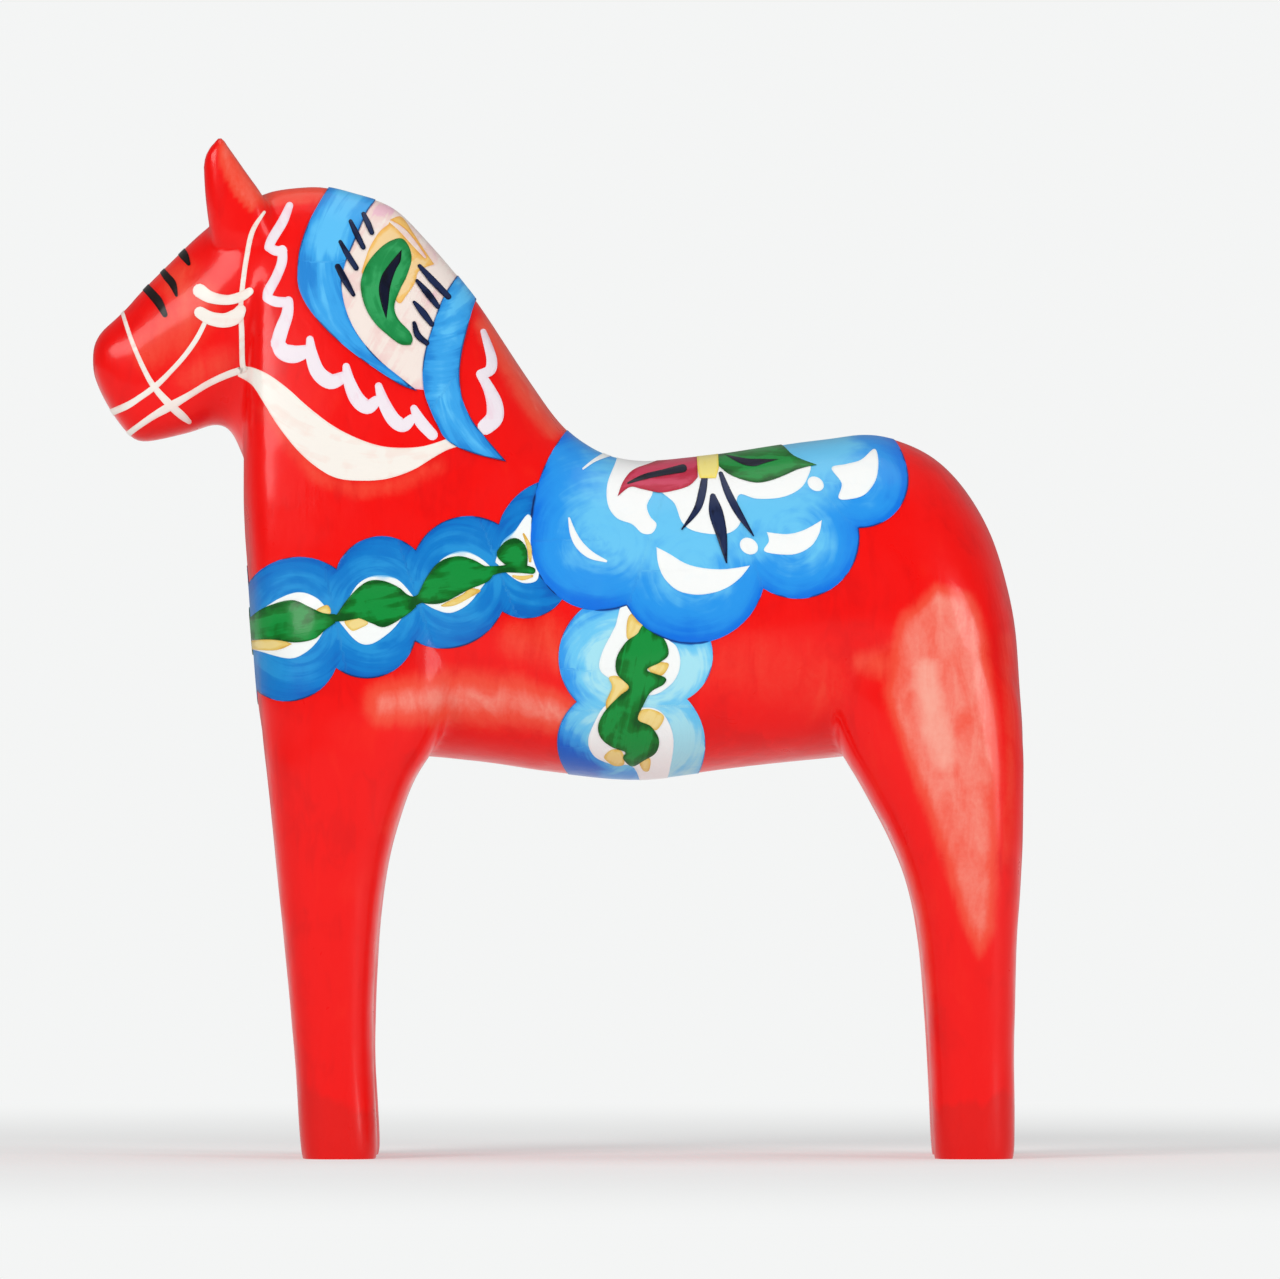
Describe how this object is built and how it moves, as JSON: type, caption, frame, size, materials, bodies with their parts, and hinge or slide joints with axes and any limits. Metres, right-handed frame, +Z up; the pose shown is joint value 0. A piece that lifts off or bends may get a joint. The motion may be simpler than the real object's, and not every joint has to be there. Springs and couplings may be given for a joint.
{
  "type": "carved and painted wooden horse",
  "caption": "Carved pine horse dipped red, with a brush-painted mane, bridle, breast band, girth and saddle, standing free on four flat soles.",
  "frame": {"origin": "centre of the overall box, on the plane of the four soles", "axes": "+Z up, from the soles to the ears; the horse faces -X; its left flank is towards -Y and its right flank towards +Y"},
  "size_m": [0.1872, 0.0628, 0.2051],
  "materials": {
    "bare_pine": "bare planed end grain, seen only on the four soles",
    "red_paint": "orange-red oil paint over primer, under clear varnish",
    "blue_paint": "cobalt blue let down to sky blue within each stroke, varnished",
    "pink_paint": "thin blush paint, varnished",
    "yellow_paint": "straw yellow, varnished",
    "green_paint": "leaf green with lighter strokes, varnished",
    "navy_paint": "navy brush strokes, varnished",
    "lilac_paint": "pale lilac line paint, varnished",
    "cream_paint": "thin cream line paint, varnished",
    "black_paint": "black brush strokes, varnished",
    "white_paint": "brushed white, varnished",
    "sky_paint": "sky blue with a darker edge, varnished",
    "crimson_paint": "crimson, varnished"
  },
  "bodies": {
    "root": {"pine_body": "bare_pine", "red_coat": "red_paint", "mane_border": "blue_paint", "mane_field": "pink_paint", "mane_heart": "yellow_paint", "mane_leaf": "green_paint", "mane_leaf_core": "navy_paint", "mane_lashes": "navy_paint", "neck_scroll": "lilac_paint", "withers_scroll": "lilac_paint", "throat_ribbon": "cream_paint", "bridle": "cream_paint", "bridle_bow": "cream_paint", "brow_bars": "black_paint", "breast_band": "blue_paint", "breast_eyes": "white_paint", "breast_leaves": "green_paint", "breast_dabs": "yellow_paint", "girth_band": "sky_paint", "girth_eyes": "white_paint", "girth_vine": "green_paint", "girth_dabs": "yellow_paint", "saddle_cloth": "blue_paint", "saddle_field": "white_paint", "saddle_lights": "white_paint", "saddle_petal": "crimson_paint", "saddle_leaf": "green_paint", "saddle_cores": "navy_paint", "saddle_heart": "yellow_paint", "saddle_stamens": "navy_paint"}
  },
  "joints": []
}
